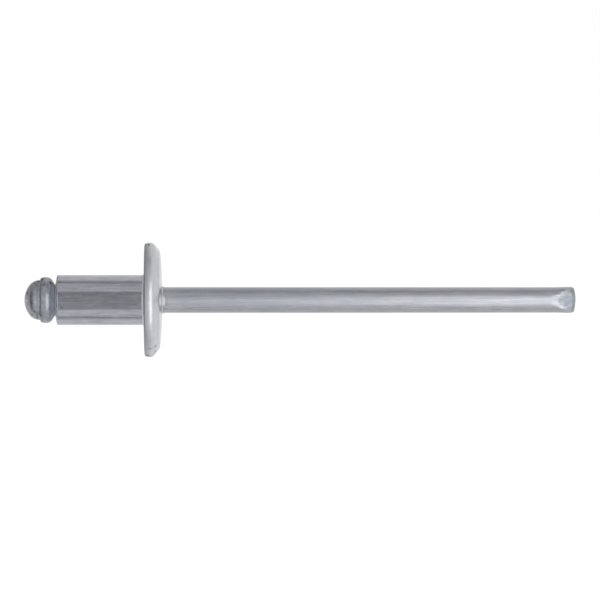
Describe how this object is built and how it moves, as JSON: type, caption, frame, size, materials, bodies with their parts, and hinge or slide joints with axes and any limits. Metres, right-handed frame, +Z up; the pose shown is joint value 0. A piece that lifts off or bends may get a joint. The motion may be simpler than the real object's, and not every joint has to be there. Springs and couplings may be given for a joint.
{
  "type": "blind rivet",
  "caption": "Large flange blind rivet, unset: a hollow sleeve with a wide, low domed flange on a headed mandrel with a pinched tip. It rivets soft or thin sheets from one side.",
  "frame": {"origin": "centre of the flat underside of the flange, on the rivet's own axis", "axes": "+X towards the tip of the mandrel, +Z up from the table. The rivet's own axis lies in the XZ plane and drops 6.04 degrees towards the tip, because the rivet lies on the rim of its flange and on its tip"},
  "size_m": [0.0527, 0.011, 0.0109],
  "materials": {
    "body_metal": "cold formed, satin",
    "mandrel_metal": "drawn wire, zinc plated"
  },
  "bodies": {
    "root": {"rivet_body": "body_metal", "mandrel": "mandrel_metal"}
  },
  "joints": []
}
